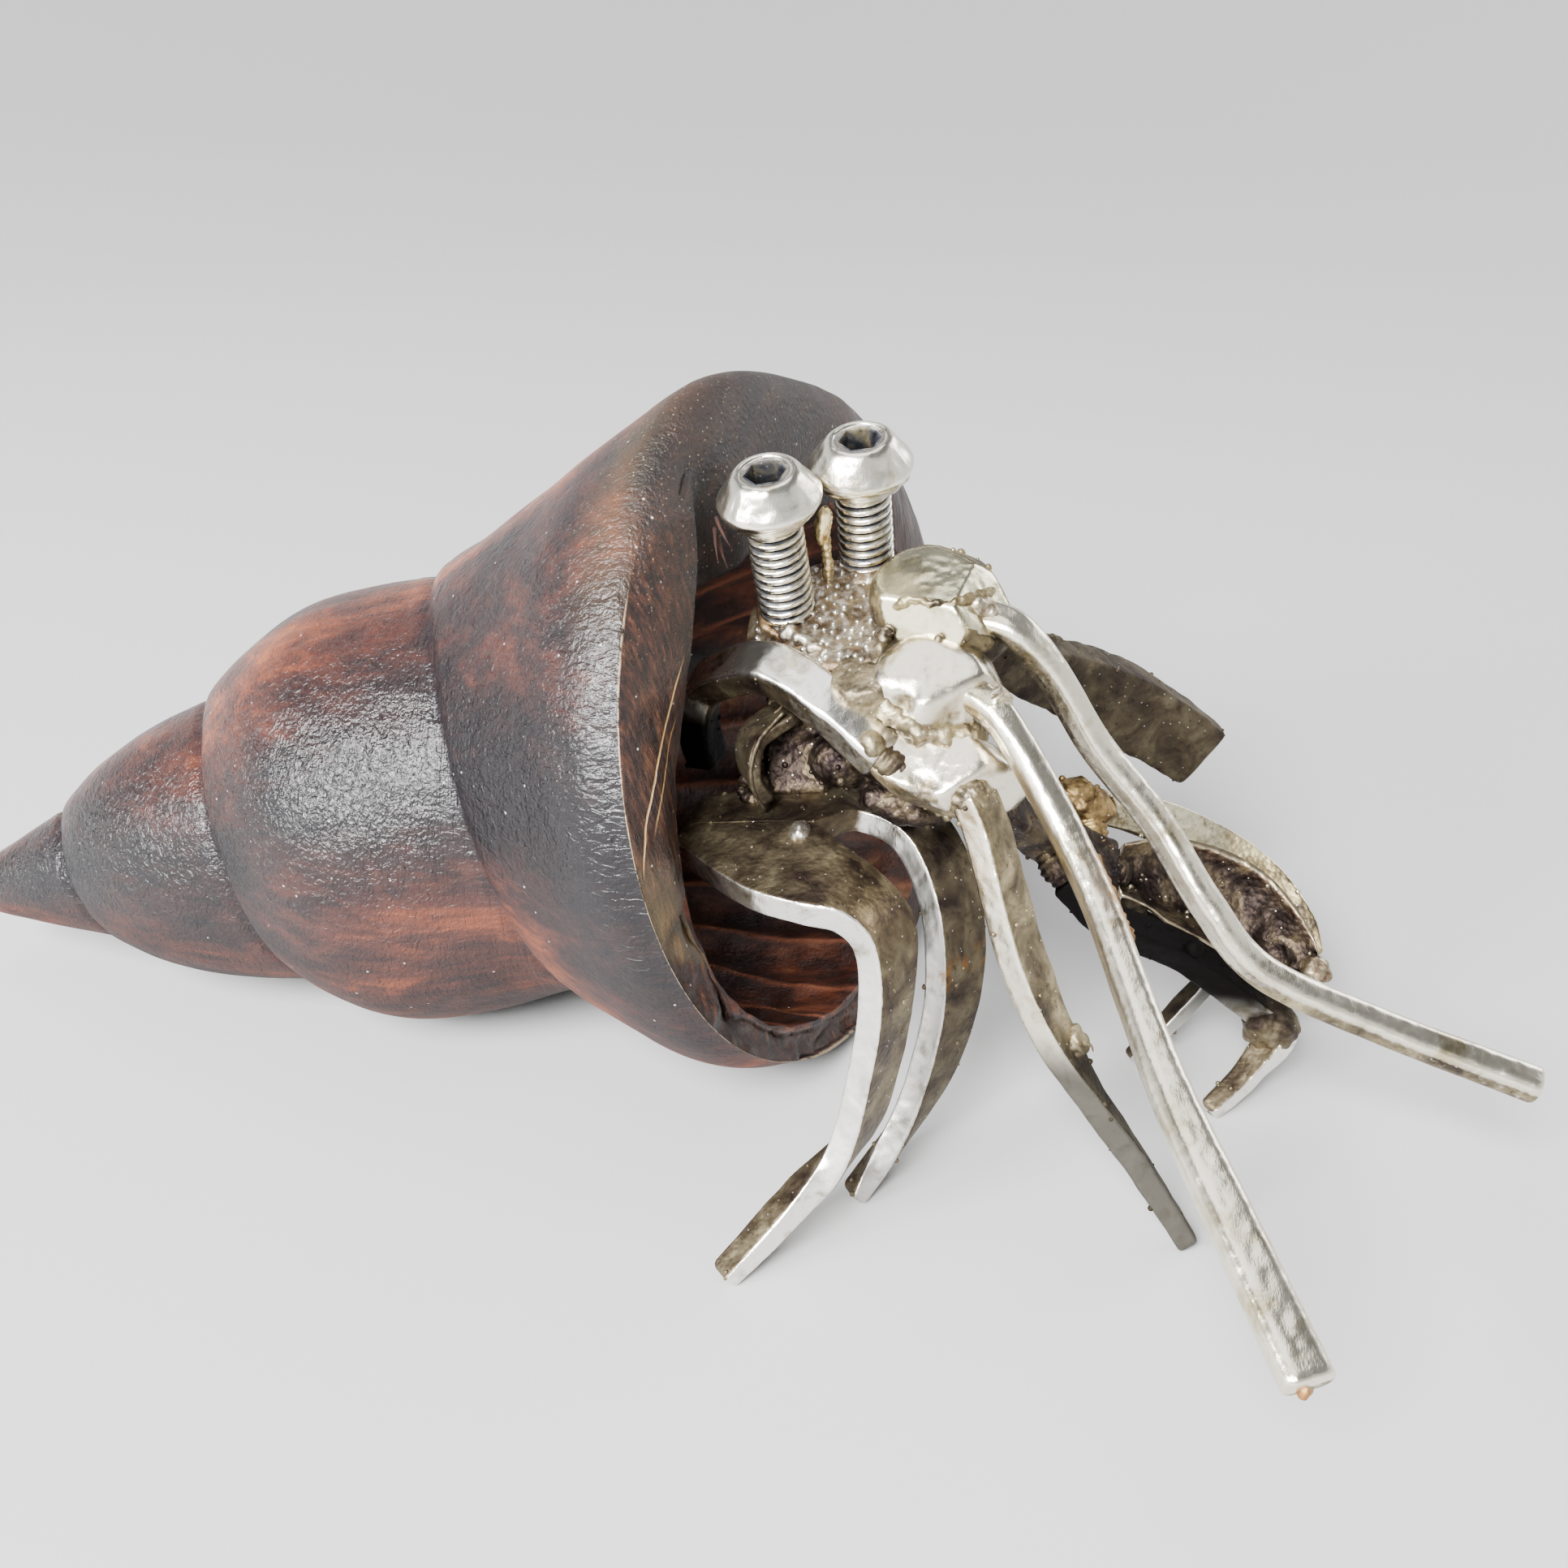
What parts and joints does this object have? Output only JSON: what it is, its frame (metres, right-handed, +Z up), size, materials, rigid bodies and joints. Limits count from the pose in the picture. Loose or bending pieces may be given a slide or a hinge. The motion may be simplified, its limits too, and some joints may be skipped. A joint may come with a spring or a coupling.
{
  "type": "welded steel hermit crab figure in a carved wooden shell",
  "caption": "Life-size desk figure of a hermit crab: a crab welded from scrap steel, with screw eyes, long feelers, claws and legs, standing out of a spiral shell carved from dark hardwood.",
  "frame": {"origin": "centre of the bounding box, on the floor that the shell and the feet rest on", "axes": "the figure faces -Y and the shell's tip points along +Y; +X is on the side of its far claw; +Z is up"},
  "size_m": [0.0821, 0.1247, 0.0533],
  "materials": {
    "rosewood": "satin",
    "heat_tinted_steel": "satin",
    "ground_steel": "semi-gloss",
    "scaled_steel": "rough",
    "screw_steel": "semi-gloss",
    "brassy_weld": "satin"
  },
  "bodies": {
    "root": {"shell": "rosewood", "head_plate": "heat_tinted_steel", "head_crest": "ground_steel", "cheek_upper": "ground_steel", "cheek_lower": "ground_steel", "eye_screw_near": "screw_steel", "eye_screw_far": "screw_steel", "neck_arch": "heat_tinted_steel", "throat_strap": "heat_tinted_steel", "throat_ball": "scaled_steel", "throat_post": "scaled_steel", "fork_sheet": "heat_tinted_steel", "leg_front_near": "ground_steel", "antenna_upper": "ground_steel", "antenna_lower": "ground_steel", "claw_arm": "scaled_steel", "claw_knuckle": "brassy_weld", "claw_lower_finger": "scaled_steel", "claw_upper_finger": "heat_tinted_steel", "far_claw_block": "scaled_steel", "leg_far_front": "heat_tinted_steel", "leg_far_rear": "heat_tinted_steel"}
  },
  "joints": []
}
